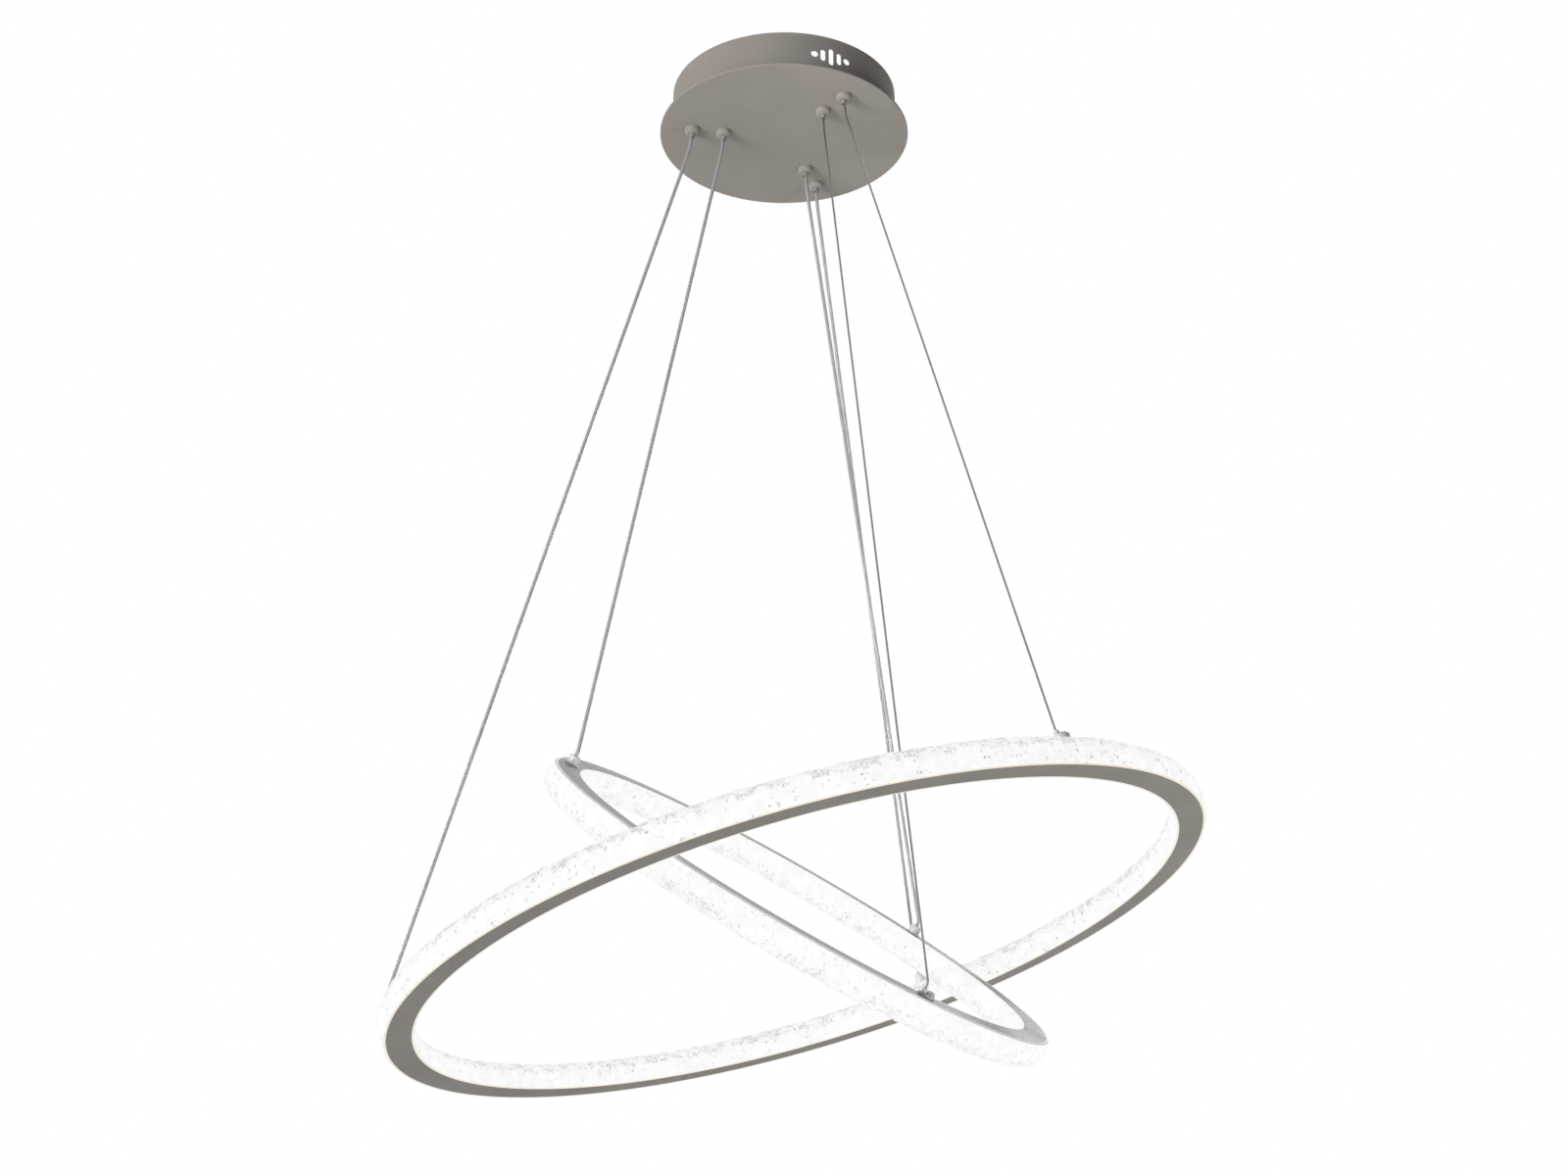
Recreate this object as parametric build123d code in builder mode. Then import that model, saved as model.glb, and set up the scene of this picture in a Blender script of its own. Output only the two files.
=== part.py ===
from build123d import *
import os
from math import cos, pi, radians, sin, sqrt, tan

# Pendant light: two tilted luminous rings hung on wires from a round ceiling canopy.
# Origin on the canopy axis at the ceiling, +Z up, -Y towards the viewer. Millimetres.

# canopy
plate_d = 200.0
plate_thk = 2.0
plate_lip = 10.0
wall_thk = 1.0
wall_h = 35.0
foot_w = 7.0
foot_thk = 1.0
stud_d = 3.0
stud_h = 5.0
stud_az = 24.0
stud_count = 4
stud_nut_af = 5.5
stud_nut_h = 2.4
fit = 0.1

# ventilation cut in the canopy wall
vent_az = -65.8
vent_z = -17.5
vent_pitch = 4.4
vent_w = 4.2
vent_long = 15.0
vent_short = 10.5
vent_dot = 5.8

# ceiling bracket
bracket_w = 24.0
bracket_thk = 2.0
bracket_drop = 16.0
bracket_bend = 3.0
bracket_gap = 0.25
slot_w = 5.2
slot_len = 14.0
slot_span = 70.0
pin_screw_d = 4.0
pin_screw_len = 9.0
pin_hex = 2.0
pin_z = -9.0
earth_x = 12.0
earth_d = 4.0
earth_head_d = 8.0
earth_head_h = 2.8
earth_cup_d = 10.0
earth_cup_thk = 1.0

# drivers and terminal block on the inside of the plate
driver_l = 74.0
driver_w = 28.0
driver_h = 19.0
driver_clear = 2.4
driver_edge = 2.5
driver_pad_l = 60.0
driver_pad_w = 20.0
driver_pad_thk = 1.0
terminal_inset = 21.5
terminal_pole = 9.0
terminal_poles = 3
terminal_w = 17.0
terminal_base_h = 8.0
terminal_top_w = 9.0
terminal_h = 14.0
terminal_bore = 3.6
terminal_screw_d = 3.5
terminal_screw_h = 6.0

# wire grippers under the plate
hang_az = 69.0
gripper_step = 25.3
gripper_d = 12.8
gripper_h = 4.8
gripper_skirt = 1.0
gripper_mouth_d = 6.2
gripper_stem_d = 8.0
gripper_stem_h = 7.0
gripper_nut_af = 12.0
gripper_nut_h = 4.0
gripper_nut_clear = 0.47
plunger_d = 4.6
plunger_out = 3.4
plunger_in = 3.0
plunger_travel = 2.0
run_gap = 0.05
free_gap = 0.3

# hanging cords: clear-jacketed feed cords and bare steel ropes
cord_d = 2.8
rope_d = 1.7
cord_above = 4.0
cord_bend = 4.5
cord_tail = 6.0
rope_tail = 5.0
cord_seat = 4.0

# rings
big_mid_r = 285.4
big_x = 12.7
big_y = -2.9
big_drop = 672.3
big_tilt = 15.72
big_high_az = -6.1
big_hang_az = 68.2
small_mid_r = 188.8
small_x = 12.9
small_y = 1.3
small_drop = 633.5
small_tilt = 36.9
small_high_az = 145.2
small_hang_az = 70.2

# ring section
tube_r = 13.4
tube_wall = 2.6
tube_rise = 9.0
ring_plate_w = 17.6
ring_plate_thk = 1.5
ring_plate_edge = 0.4
board_w = 11.0
board_thk = 0.4
chip_w = 2.8
chip_l = 3.5
chip_h = 0.8
chip_pitch = 24.8

# hangers on the rings
gland_d = 8.8
gland_h = 5.8
gland_foot_d = 10.4
gland_foot_thk = 1.2
anchor_d = 11.6
anchor_thk = 1.8
anchor_sleeve_d = 3.8
anchor_sleeve_h = 3.4
anchor_wire_at = -2.9
anchor_screw_at = 2.5
anchor_screw_d = 6.4
anchor_screw_h = 3.0
anchor_shank_d = 2.5
stem_d = 4.0
stem_gap = 0.2
stem_in = 5.0
post_d = 7.0
post_bore_gap = 0.05
stem_nut_af = 6.0
stem_nut_h = 2.4

plate_top = -wall_h
plate_bottom = plate_top - plate_thk
wall_d = plate_d - 2 * plate_lip
wall_in_r = wall_d / 2 - wall_thk
hang_steps = (0, 120, 240)
gripper_nut_r = gripper_nut_af / sqrt(3)
gripper_big_r = wall_in_r - foot_w - gripper_nut_r - gripper_nut_clear
gripper_small_r = gripper_big_r - gripper_step
driver_big_az = hang_az + 60
driver_small_az = hang_az + 180
driver_r = gripper_small_r * cos(radians(60)) + gripper_nut_r + driver_clear + driver_w / 2
terminal_az = hang_az - 60
terminal_r = wall_in_r - foot_w - terminal_inset - terminal_w / 2
nozzle_z = plate_bottom - gripper_h - plunger_out
crest = tube_rise + tube_r
post_top = tube_rise + sqrt((tube_r - tube_wall) ** 2 - (post_d / 2) ** 2) - stem_gap


def polar(radius, az, z):
    return Vector(radius * cos(radians(az)), radius * sin(radians(az)), z)


def leaning(x, y, drop, tilt, high_az):
    t = radians(tilt)
    a = radians(high_az)
    n = Vector(-sin(t) * cos(a), -sin(t) * sin(a), cos(t))
    return Plane(origin=(x, y, plate_bottom - drop), x_dir=Vector(0, 1, 0).cross(n), z_dir=n)


def seat_on(ring, mid_r, az, height):
    # plane square to the ring at one hanger: X outwards, Y along the ring, Z off the ring
    spoke = ring.x_dir * cos(radians(az)) + ring.y_dir * sin(radians(az))
    return Plane(origin=ring.origin + spoke * mid_r + ring.z_dir * height, x_dir=spoke, z_dir=ring.z_dir)


def section_of(ring, side, az=0.0):
    # plane through the ring's axis: X outwards, Y from the metal plate into the tube
    spoke = ring.x_dir * cos(radians(az)) + ring.y_dir * sin(radians(az))
    return Plane(origin=ring.origin, x_dir=spoke, z_dir=spoke.cross(ring.z_dir * side))


def axis_of(ring):
    return Axis(ring.origin, ring.z_dir)


big_ring = leaning(big_x, big_y, big_drop, big_tilt, big_high_az)
small_ring = leaning(small_x, small_y, small_drop, small_tilt, small_high_az)
big_az = [big_hang_az + s for s in hang_steps]
small_az = [small_hang_az + s for s in hang_steps]
upright = Plane.XZ


def keep(name, piece):
    piece.label = name
    export_step(piece, "parts/" + name + ".step")
    print(name, round(piece.volume, 1))


os.makedirs("parts", exist_ok=True)

# Canopy wall: thin rolled band with a foot turned inwards and a fan of vents.
with BuildPart() as canopy_wall:
    with BuildSketch(upright):
        with BuildLine():
            Polyline(
                (wall_d / 2, plate_top), (wall_d / 2, 0), (wall_in_r, 0), (wall_in_r, plate_top + foot_thk),
                (wall_in_r - foot_w, plate_top + foot_thk), (wall_in_r - foot_w, plate_top), close=True,
            )
        make_face()
    revolve(axis=Axis.Z)
    for step, height in ((-2, vent_dot), (-1, vent_short), (0, vent_long), (1, vent_short), (2, vent_dot)):
        az = vent_az + step * vent_pitch
        face = Plane(origin=polar(wall_in_r - wall_thk, az, vent_z), x_dir=(0, 0, 1), z_dir=polar(1, az, 0))
        with BuildSketch(face):
            if height > vent_dot:
                SlotOverall(height, vent_w)
            else:
                Circle(vent_dot / 2)
        extrude(amount=3 * wall_thk, mode=Mode.SUBTRACT)
    for az in (0, 180):
        with BuildSketch(Plane(origin=polar(wall_in_r - wall_thk, az, pin_z), z_dir=polar(1, az, 0))):
            Circle(pin_screw_d / 2 + fit)
        extrude(amount=3 * wall_thk, mode=Mode.SUBTRACT)
    with BuildSketch(Plane.XY.offset(plate_top)):
        with PolarLocations(wall_in_r - foot_w / 2, stud_count, start_angle=stud_az):
            Circle(stud_d / 2 + fit)
    extrude(amount=foot_thk, mode=Mode.SUBTRACT)

# Canopy plate: flat disc with a softened rim, six gripper holes and four welded studs.
with BuildPart() as canopy_plate:
    with BuildSketch(Plane.XY.offset(plate_bottom)):
        Circle(plate_d / 2)
    extrude(amount=plate_thk)
    fillet(canopy_plate.edges().filter_by(GeomType.CIRCLE), plate_thk * 0.3)
    with BuildSketch(Plane.XY.offset(plate_bottom)):
        with PolarLocations(gripper_big_r, 3, start_angle=hang_az):
            Circle(gripper_stem_d / 2 + fit)
        with PolarLocations(gripper_small_r, 3, start_angle=hang_az):
            Circle(gripper_stem_d / 2 + fit)
    extrude(amount=plate_thk, mode=Mode.SUBTRACT)
    with BuildSketch(Plane.XY.offset(plate_top)):
        with PolarLocations(wall_in_r - foot_w / 2, stud_count, start_angle=stud_az):
            Circle(stud_d / 2)
    extrude(amount=stud_h)

with BuildPart() as canopy_nuts:
    with BuildSketch(Plane.XY.offset(plate_top + foot_thk)):
        with PolarLocations(wall_in_r - foot_w / 2, stud_count, start_angle=stud_az):
            RegularPolygon(stud_nut_af / 2, 6, major_radius=False)
            Circle(stud_d / 2 + run_gap, mode=Mode.SUBTRACT)
    extrude(amount=stud_nut_h)

# Ceiling bracket: folded strip whose two ears take the canopy's pin screws.
ear_x = sqrt(wall_in_r**2 - (bracket_w / 2) ** 2) - bracket_gap
with BuildPart() as ceiling_bracket:
    with BuildSketch(upright):
        with BuildLine():
            Polyline(
                (-ear_x, -bracket_drop), (-ear_x, 0), (ear_x, 0), (ear_x, -bracket_drop),
                (ear_x - bracket_thk, -bracket_drop), (ear_x - bracket_thk, -bracket_thk),
                (-ear_x + bracket_thk, -bracket_thk), (-ear_x + bracket_thk, -bracket_drop), close=True,
            )
        make_face()
    extrude(amount=bracket_w / 2, both=True)
    bends = ceiling_bracket.edges().filter_by(Axis.Y)
    fillet(bends.group_by(Axis.Z)[-1], bracket_bend)
    inner = ceiling_bracket.edges().filter_by(Axis.Y).group_by(Axis.Z)[-2]
    fillet(inner, bracket_bend - bracket_thk)
    with BuildSketch(Plane.XY):
        with Locations((-slot_span / 2, 0), (slot_span / 2, 0)):
            SlotOverall(slot_len, slot_w)
        with Locations((earth_x, 0)):
            Circle(earth_d / 2 + run_gap)
    extrude(amount=-bracket_thk, mode=Mode.SUBTRACT)
    with BuildSketch(Plane.YZ.offset(-ear_x)):
        with Locations((0, pin_z)):
            Circle(pin_screw_d / 2 + run_gap)
    extrude(amount=2 * ear_x, mode=Mode.SUBTRACT)

with BuildPart() as pin_screws:
    for az in (0, 180):
        face = Plane(origin=polar(wall_d / 2, az, pin_z), z_dir=polar(1, az, 0))
        with BuildSketch(face):
            Circle(pin_screw_d / 2)
        extrude(amount=-pin_screw_len)
        with BuildSketch(face):
            RegularPolygon(pin_hex / 2, 6, major_radius=False)
        extrude(amount=-pin_hex, mode=Mode.SUBTRACT)

# Earth point: cup washer and slotted screw under the bracket.
with BuildPart() as earth_screw:
    with BuildSketch(Plane(origin=(earth_x, 0, 0))):
        Circle(earth_d / 2)
    extrude(amount=-bracket_thk - earth_cup_thk)
    with BuildSketch(Plane(origin=(earth_x, 0, -bracket_thk - earth_cup_thk))):
        Circle(earth_head_d / 2)
    extrude(amount=-earth_head_h)
    with BuildSketch(Plane(origin=(earth_x, 0, -bracket_thk - earth_cup_thk - earth_head_h))):
        Rectangle(earth_head_d, earth_d / 4)
    extrude(amount=earth_head_h / 2, mode=Mode.SUBTRACT)

with BuildPart() as earth_washer:
    with BuildSketch(Plane(origin=(earth_x, 0, -bracket_thk))):
        Circle(earth_cup_d / 2)
        Circle(earth_d / 2 + run_gap, mode=Mode.SUBTRACT)
    extrude(amount=-earth_cup_thk)


def driver_case(az):
    # potted driver box with rounded corners and a lead notch in each short end
    middle = polar(driver_r, az, plate_top + driver_pad_thk)
    seat = Plane(origin=middle, x_dir=polar(1, az + 90, 0), z_dir=(0, 0, 1))
    with BuildPart() as case:
        with BuildSketch(seat):
            RectangleRounded(driver_l, driver_w, driver_edge)
        extrude(amount=driver_h)
        fillet(case.faces().sort_by(Axis.Z)[-1].edges(), driver_edge / 2)
        with BuildSketch(seat.offset(driver_h / 2)):
            with Locations((-driver_l / 2, 0), (driver_l / 2, 0)):
                SlotOverall(driver_edge * 4, driver_w / 4)
        extrude(amount=driver_h / 4, mode=Mode.SUBTRACT)
    return case.part


driver_big = driver_case(driver_big_az)
driver_small = driver_case(driver_small_az)

with BuildPart() as driver_pads:
    for az in (driver_big_az, driver_small_az):
        seat = Plane(origin=polar(driver_r, az, plate_top), x_dir=polar(1, az + 90, 0), z_dir=(0, 0, 1))
        with BuildSketch(seat):
            Rectangle(driver_pad_l, driver_pad_w)
        extrude(amount=driver_pad_thk)

# Terminal block: stepped moulding with a lead bore and a screw well for each pole.
terminal_seat = Plane(
    origin=polar(terminal_r, terminal_az, plate_top), x_dir=polar(1, terminal_az + 90, 0), z_dir=(0, 0, 1)
)
terminal_l = terminal_pole * terminal_poles
with BuildPart() as terminal_block:
    with BuildSketch(terminal_seat):
        Rectangle(terminal_l, terminal_w)
    extrude(amount=terminal_base_h)
    with BuildSketch(terminal_seat.offset(terminal_base_h)):
        Rectangle(terminal_l, terminal_top_w)
    extrude(amount=terminal_h - terminal_base_h)
    with BuildSketch(terminal_seat.offset(terminal_h)):
        with GridLocations(terminal_pole, 0, terminal_poles, 1):
            Circle(terminal_screw_d / 2 + fit)
    extrude(amount=-terminal_h + terminal_base_h / 2 + terminal_bore / 2, mode=Mode.SUBTRACT)
    with BuildSketch(Plane(terminal_seat.origin, x_dir=terminal_seat.x_dir, z_dir=-terminal_seat.y_dir)):
        with Locations((0, terminal_base_h / 2)):
            with GridLocations(terminal_pole, 0, terminal_poles, 1):
                Circle(terminal_bore / 2)
    extrude(amount=terminal_w / 2, both=True, mode=Mode.SUBTRACT)

with BuildPart() as terminal_screws:
    with BuildSketch(terminal_seat.offset(terminal_base_h / 2 + terminal_bore / 2)):
        with GridLocations(terminal_pole, 0, terminal_poles, 1):
            Circle(terminal_screw_d / 2)
    extrude(amount=terminal_screw_h)
    with BuildSketch(terminal_seat.offset(terminal_base_h / 2 + terminal_bore / 2 + terminal_screw_h)):
        with GridLocations(terminal_pole, 0, terminal_poles, 1):
            Rectangle(terminal_screw_d, terminal_screw_d / 5)
    extrude(amount=-terminal_screw_h / 4, mode=Mode.SUBTRACT)


def gripper_body(spot, wire_d):
    # domed nut-like body under the plate, threaded stem up through it, plunger bore inside
    top = plate_top + gripper_stem_h
    shoulder = plate_bottom + plunger_in + plunger_travel + free_gap
    guide = plunger_d / 2 + run_gap
    bore = wire_d / 2 + free_gap
    foot = plate_bottom - gripper_h
    with BuildPart() as body:
        with BuildSketch(Plane(origin=(spot.X, spot.Y, 0), x_dir=(1, 0, 0), z_dir=(0, -1, 0))):
            with BuildLine():
                Polyline(
                    (gripper_mouth_d / 2, foot), (guide, foot), (guide, shoulder), (bore, shoulder),
                    (bore, top), (gripper_stem_d / 2, top), (gripper_stem_d / 2, plate_bottom),
                    (gripper_d / 2, plate_bottom),
                    (gripper_d / 2, plate_bottom - gripper_skirt),
                )
                TangentArc(
                    (gripper_d / 2, plate_bottom - gripper_skirt), (gripper_mouth_d / 2, foot),
                    tangent=(0, -1),
                )
            make_face()
        revolve(axis=Axis((spot.X, spot.Y, 0), (0, 0, 1)))
    return body.part


def gripper_plunger(spot, wire_d):
    # sprung sleeve that frees the wire when it is pushed up
    bore = wire_d / 2 + free_gap
    lip = (plunger_d / 2 - bore) * 0.5
    with BuildPart() as sleeve:
        with BuildSketch(Plane(origin=(spot.X, spot.Y, 0), x_dir=(1, 0, 0), z_dir=(0, -1, 0))):
            with BuildLine():
                Polyline(
                    (bore, nozzle_z + lip), (bore, plate_bottom + plunger_in),
                    (plunger_d / 2, plate_bottom + plunger_in),
                    (plunger_d / 2, nozzle_z), (bore + lip, nozzle_z), close=True,
                )
            make_face()
        revolve(axis=Axis((spot.X, spot.Y, 0), (0, 0, 1)))
    return sleeve.part


spots = {}
for name, az in (("far", hang_az), ("left", hang_az + 120), ("right", hang_az + 240)):
    spots["big_" + name] = polar(gripper_big_r, az, 0)
    spots["small_" + name] = polar(gripper_small_r, az, 0)
wire_sizes = {name: rope_d if name.endswith("right") else cord_d for name in spots}

with BuildPart() as gripper_nuts:
    with BuildSketch(Plane.XY.offset(plate_top)):
        with Locations(*[(s.X, s.Y) for s in spots.values()]):
            RegularPolygon(gripper_nut_af / 2, 6, major_radius=False)
            Circle(gripper_stem_d / 2 + run_gap, mode=Mode.SUBTRACT)
    extrude(amount=gripper_nut_h)


def ring_diffuser(ring, side, mid_r, hang):
    # C-shaped tube, open towards the metal plate, with a rebate that the plate sits in
    with BuildPart() as tube:
        with BuildSketch(section_of(ring, side)):
            with Locations((mid_r, tube_rise)):
                Circle(tube_r)
                Circle(tube_r - tube_wall, mode=Mode.SUBTRACT)
            with Locations((mid_r, -tube_r)):
                Rectangle(4 * tube_r, 2 * tube_r, mode=Mode.SUBTRACT)
            with Locations((mid_r, 0)):
                Rectangle(ring_plate_w + 2 * fit, 2 * ring_plate_thk, mode=Mode.SUBTRACT)
        revolve(axis=axis_of(ring))
        for az in hang:
            with BuildSketch(seat_on(ring, mid_r, az, side * tube_rise)):
                Circle(stem_d / 2 + stem_gap)
            extrude(amount=side * 2 * tube_r, mode=Mode.SUBTRACT)
    return tube.part


def ring_plate(ring, side, mid_r, hang):
    # flat metal ring with broken edges on its outer face
    with BuildPart() as plate:
        with BuildSketch(section_of(ring, side)):
            with BuildLine():
                low = mid_r - ring_plate_w / 2
                high = mid_r + ring_plate_w / 2
                Polyline(
                    (low, ring_plate_thk), (low, ring_plate_edge), (low + ring_plate_edge, 0),
                    (high - ring_plate_edge, 0), (high, ring_plate_edge), (high, ring_plate_thk), close=True,
                )
            make_face()
        revolve(axis=axis_of(ring))
        for az in hang:
            with BuildSketch(seat_on(ring, mid_r, az, 0)):
                Circle(stem_d / 2 + run_gap)
            extrude(amount=side * ring_plate_thk, mode=Mode.SUBTRACT)
    return plate.part


def ring_leds(ring, side, mid_r, hang):
    # light strip on the inner face of the plate, holed round the hangers
    chips = len(hang) * round(2 * pi * mid_r / chip_pitch / len(hang))  # hangers stay midway between chips
    with BuildPart() as strip:
        with BuildSketch(ring.offset(side * ring_plate_thk)):
            Circle(mid_r + board_w / 2)
            Circle(mid_r - board_w / 2, mode=Mode.SUBTRACT)
            with PolarLocations(mid_r, 3, start_angle=hang[0]):
                Circle(post_d / 2 + stem_gap, mode=Mode.SUBTRACT)
        extrude(amount=side * board_thk)
        with BuildSketch(ring.offset(side * (ring_plate_thk + board_thk))):
            with PolarLocations(mid_r, chips, start_angle=hang[0] + 180 / chips):
                Rectangle(chip_w, chip_l)
        extrude(amount=side * chip_h)
    return strip.part


def foot_on(ring, mid_r, az, diameter, thickness, saddle):
    # round foot of a hanger; on the tube's crest its underside is hollowed to sit on the curve
    base = seat_on(ring, mid_r, az, crest if saddle else 0)
    with BuildPart() as foot:
        with BuildSketch(base.offset(-tube_r / 4 if saddle else 0)):
            Circle(diameter / 2)
        extrude(amount=thickness + (tube_r / 4 if saddle else 0))
        if saddle:
            with BuildSketch(section_of(ring, 1, az - 4)):
                with Locations((mid_r, tube_rise)):
                    Circle(tube_r + run_gap)
            revolve(axis=axis_of(ring), revolution_arc=8, mode=Mode.SUBTRACT)
    return foot.part, base


def stem_on(base, saddle):
    # threaded stem below a hanger: into the post of the big ring, or through the small ring's plate
    if saddle:
        return base.offset(post_top - stem_in - crest), crest - post_top + stem_in
    return base.offset(-ring_plate_thk - stem_nut_h), ring_plate_thk + stem_nut_h


def cord_gland(ring, mid_r, az, saddle):
    # barrel gland that grips a feed cord
    foot, base = foot_on(ring, mid_r, az, gland_foot_d, gland_foot_thk, saddle)
    stem, length = stem_on(base, saddle)
    with BuildPart() as gland:
        add(foot)
        with BuildSketch(base.offset(gland_foot_thk)):
            Circle(gland_d / 2)
        extrude(amount=gland_h)
        top = gland.edges().filter_by(GeomType.CIRCLE).sort_by(Axis(base.origin, base.z_dir))[-1]
        fillet(top, gland_foot_thk)
        with BuildSketch(stem):
            Circle(stem_d / 2)
        extrude(amount=length + gland_foot_thk)
        with BuildSketch(base.offset(gland_foot_thk + gland_h)):
            Circle(cord_d / 2 + free_gap / 2)
        extrude(amount=-cord_seat - free_gap / 2, mode=Mode.SUBTRACT)
    return gland.part


def rope_anchor(ring, mid_r, az, saddle):
    # round clamp foot with a wire sleeve on one side of its middle and a clamp screw on the other
    foot, base = foot_on(ring, mid_r, az, anchor_d, anchor_thk, saddle)
    stem, length = stem_on(base, saddle)
    with BuildPart() as anchor:
        add(foot)
        with BuildSketch(base.offset(anchor_thk)):
            with Locations((0, anchor_wire_at)):
                Circle(anchor_sleeve_d / 2)
        extrude(amount=anchor_sleeve_h)
        with BuildSketch(stem):
            Circle(stem_d / 2)
        extrude(amount=length + anchor_thk / 2)
        with BuildSketch(base.offset(anchor_thk + anchor_sleeve_h)):
            with Locations((0, anchor_wire_at)):
                Circle(rope_d / 2 + free_gap / 2)
        extrude(amount=-cord_seat - free_gap / 2, mode=Mode.SUBTRACT)
        with BuildSketch(base.offset(anchor_thk)):
            with Locations((0, anchor_screw_at)):
                Circle(anchor_shank_d / 2 + run_gap)
        extrude(amount=-anchor_thk * 0.6, mode=Mode.SUBTRACT)
    return anchor.part


def anchor_screw(ring, mid_r, az, saddle):
    # domed clamp screw on the anchor's foot
    base = seat_on(ring, mid_r, az, (crest if saddle else 0) + anchor_thk)
    with BuildPart() as screw:
        with BuildSketch(base):
            with Locations((0, anchor_screw_at)):
                Circle(anchor_screw_d / 2)
        extrude(amount=anchor_screw_h)
        rim = screw.edges().filter_by(GeomType.CIRCLE).sort_by(Axis(base.origin, base.z_dir))[-1]
        fillet(rim, min(anchor_screw_h, anchor_screw_d / 2) * 0.8)
        with BuildSketch(base):
            with Locations((0, anchor_screw_at)):
                Circle(anchor_shank_d / 2)
        extrude(amount=-anchor_thk * 0.5)
    return screw.part


with BuildPart() as big_posts:
    for az in big_az:
        base = seat_on(big_ring, big_mid_r, az, ring_plate_thk)
        height = post_top - ring_plate_thk
        with BuildSketch(base):
            Circle(post_d / 2)
        extrude(amount=height)
        with BuildSketch(base.offset(height)):
            Circle(stem_d / 2 + post_bore_gap)
        extrude(amount=-stem_in - stem_gap, mode=Mode.SUBTRACT)

with BuildPart() as small_stem_nuts:
    for az in small_az:
        base = seat_on(small_ring, small_mid_r, az, -ring_plate_thk)
        with BuildSketch(base):
            RegularPolygon(stem_nut_af / 2, 6, major_radius=False)
            Circle(stem_d / 2 + run_gap, mode=Mode.SUBTRACT)
        extrude(amount=-stem_nut_h)


def hanging_cord(name, spot, wire_d, ring, mid_r, az, lift, shift, tail):
    # straight taut run, bent gently where it leaves the gripper and where it enters the hanger
    seat = seat_on(ring, mid_r, az, lift)
    mouth = seat.origin + seat.y_dir * shift
    top = Vector(spot.X, spot.Y, plate_top + gripper_stem_h + cord_above)
    knee = Vector(spot.X, spot.Y, nozzle_z - cord_bend)
    ankle = mouth + seat.z_dir * tail
    foot = mouth - seat.z_dir * cord_seat
    run = ankle - knee
    turn_top = (knee - top).get_angle(run)
    turn_low = run.get_angle(foot - ankle)
    radius_top = (cord_bend - free_gap) / tan(radians(turn_top / 2))
    radius_low = (tail - free_gap) / tan(radians(turn_low / 2))
    with BuildPart() as cord:
        with BuildLine() as path:
            FilletPolyline(top, knee, ankle, foot, radius=[radius_top, radius_low])
        route = path.wires()[0]
        with BuildSketch(Plane(origin=route @ 0, z_dir=route % 0)):
            Circle(wire_d / 2)
        sweep(path=route)
    length = route.length
    ratio = cord.part.volume / (length * pi * wire_d**2 / 4)
    print(name, "length", round(length, 1), "radii", round(radius_top, 1), round(radius_low, 1),
          "turns", round(turn_top, 1), round(turn_low, 1), "volume ratio", round(ratio, 4))
    return cord.part


keep("ceiling_bracket", ceiling_bracket.part)
keep("pin_screws", pin_screws.part)
keep("earth_screw", earth_screw.part)
keep("earth_washer", earth_washer.part)
keep("canopy_wall", canopy_wall.part)
keep("canopy_plate", canopy_plate.part)
keep("canopy_nuts", canopy_nuts.part)
keep("driver_big", driver_big)
keep("driver_small", driver_small)
keep("driver_pads", driver_pads.part)
keep("terminal_block", terminal_block.part)
keep("terminal_screws", terminal_screws.part)
keep("gripper_nuts", gripper_nuts.part)
for name, spot in spots.items():
    keep("gripper_" + name, gripper_body(spot, wire_sizes[name]))
    keep("plunger_" + name, gripper_plunger(spot, wire_sizes[name]))

keep("big_diffuser", ring_diffuser(big_ring, 1, big_mid_r, big_az))
keep("big_plate", ring_plate(big_ring, 1, big_mid_r, ()))
keep("big_led_strip", ring_leds(big_ring, 1, big_mid_r, big_az))
keep("big_posts", big_posts.part)
keep("big_gland_far", cord_gland(big_ring, big_mid_r, big_az[0], True))
keep("big_gland_left", cord_gland(big_ring, big_mid_r, big_az[1], True))
keep("big_anchor", rope_anchor(big_ring, big_mid_r, big_az[2], True))
keep("big_anchor_screw", anchor_screw(big_ring, big_mid_r, big_az[2], True))

keep("small_diffuser", ring_diffuser(small_ring, -1, small_mid_r, ()))
keep("small_plate", ring_plate(small_ring, -1, small_mid_r, small_az))
keep("small_led_strip", ring_leds(small_ring, -1, small_mid_r, small_az))
keep("small_stem_nuts", small_stem_nuts.part)
keep("small_gland_far", cord_gland(small_ring, small_mid_r, small_az[0], False))
keep("small_gland_left", cord_gland(small_ring, small_mid_r, small_az[1], False))
keep("small_anchor", rope_anchor(small_ring, small_mid_r, small_az[2], False))
keep("small_anchor_screw", anchor_screw(small_ring, small_mid_r, small_az[2], False))

gland_top = gland_foot_thk + gland_h
anchor_top = anchor_thk + anchor_sleeve_h
for size, ring, mid_r, hang, level in (
    ("big", big_ring, big_mid_r, big_az, crest),
    ("small", small_ring, small_mid_r, small_az, 0),
):
    for name, az in (("far", hang[0]), ("left", hang[1])):
        key = size + "_" + name
        run = hanging_cord("cord_" + key, spots[key], cord_d, ring, mid_r, az, level + gland_top, 0, cord_tail)
        keep("cord_" + key, run)
    key = size + "_right"
    lift = level + anchor_top
    run = hanging_cord("rope_" + key, spots[key], rope_d, ring, mid_r, hang[2], lift, anchor_wire_at, rope_tail)
    keep("rope_" + key, run)
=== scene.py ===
import bpy
import bmesh
from math import acos, asin, atan2, cos, pi, radians, sin
from mathutils import Matrix, Vector, noise


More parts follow.
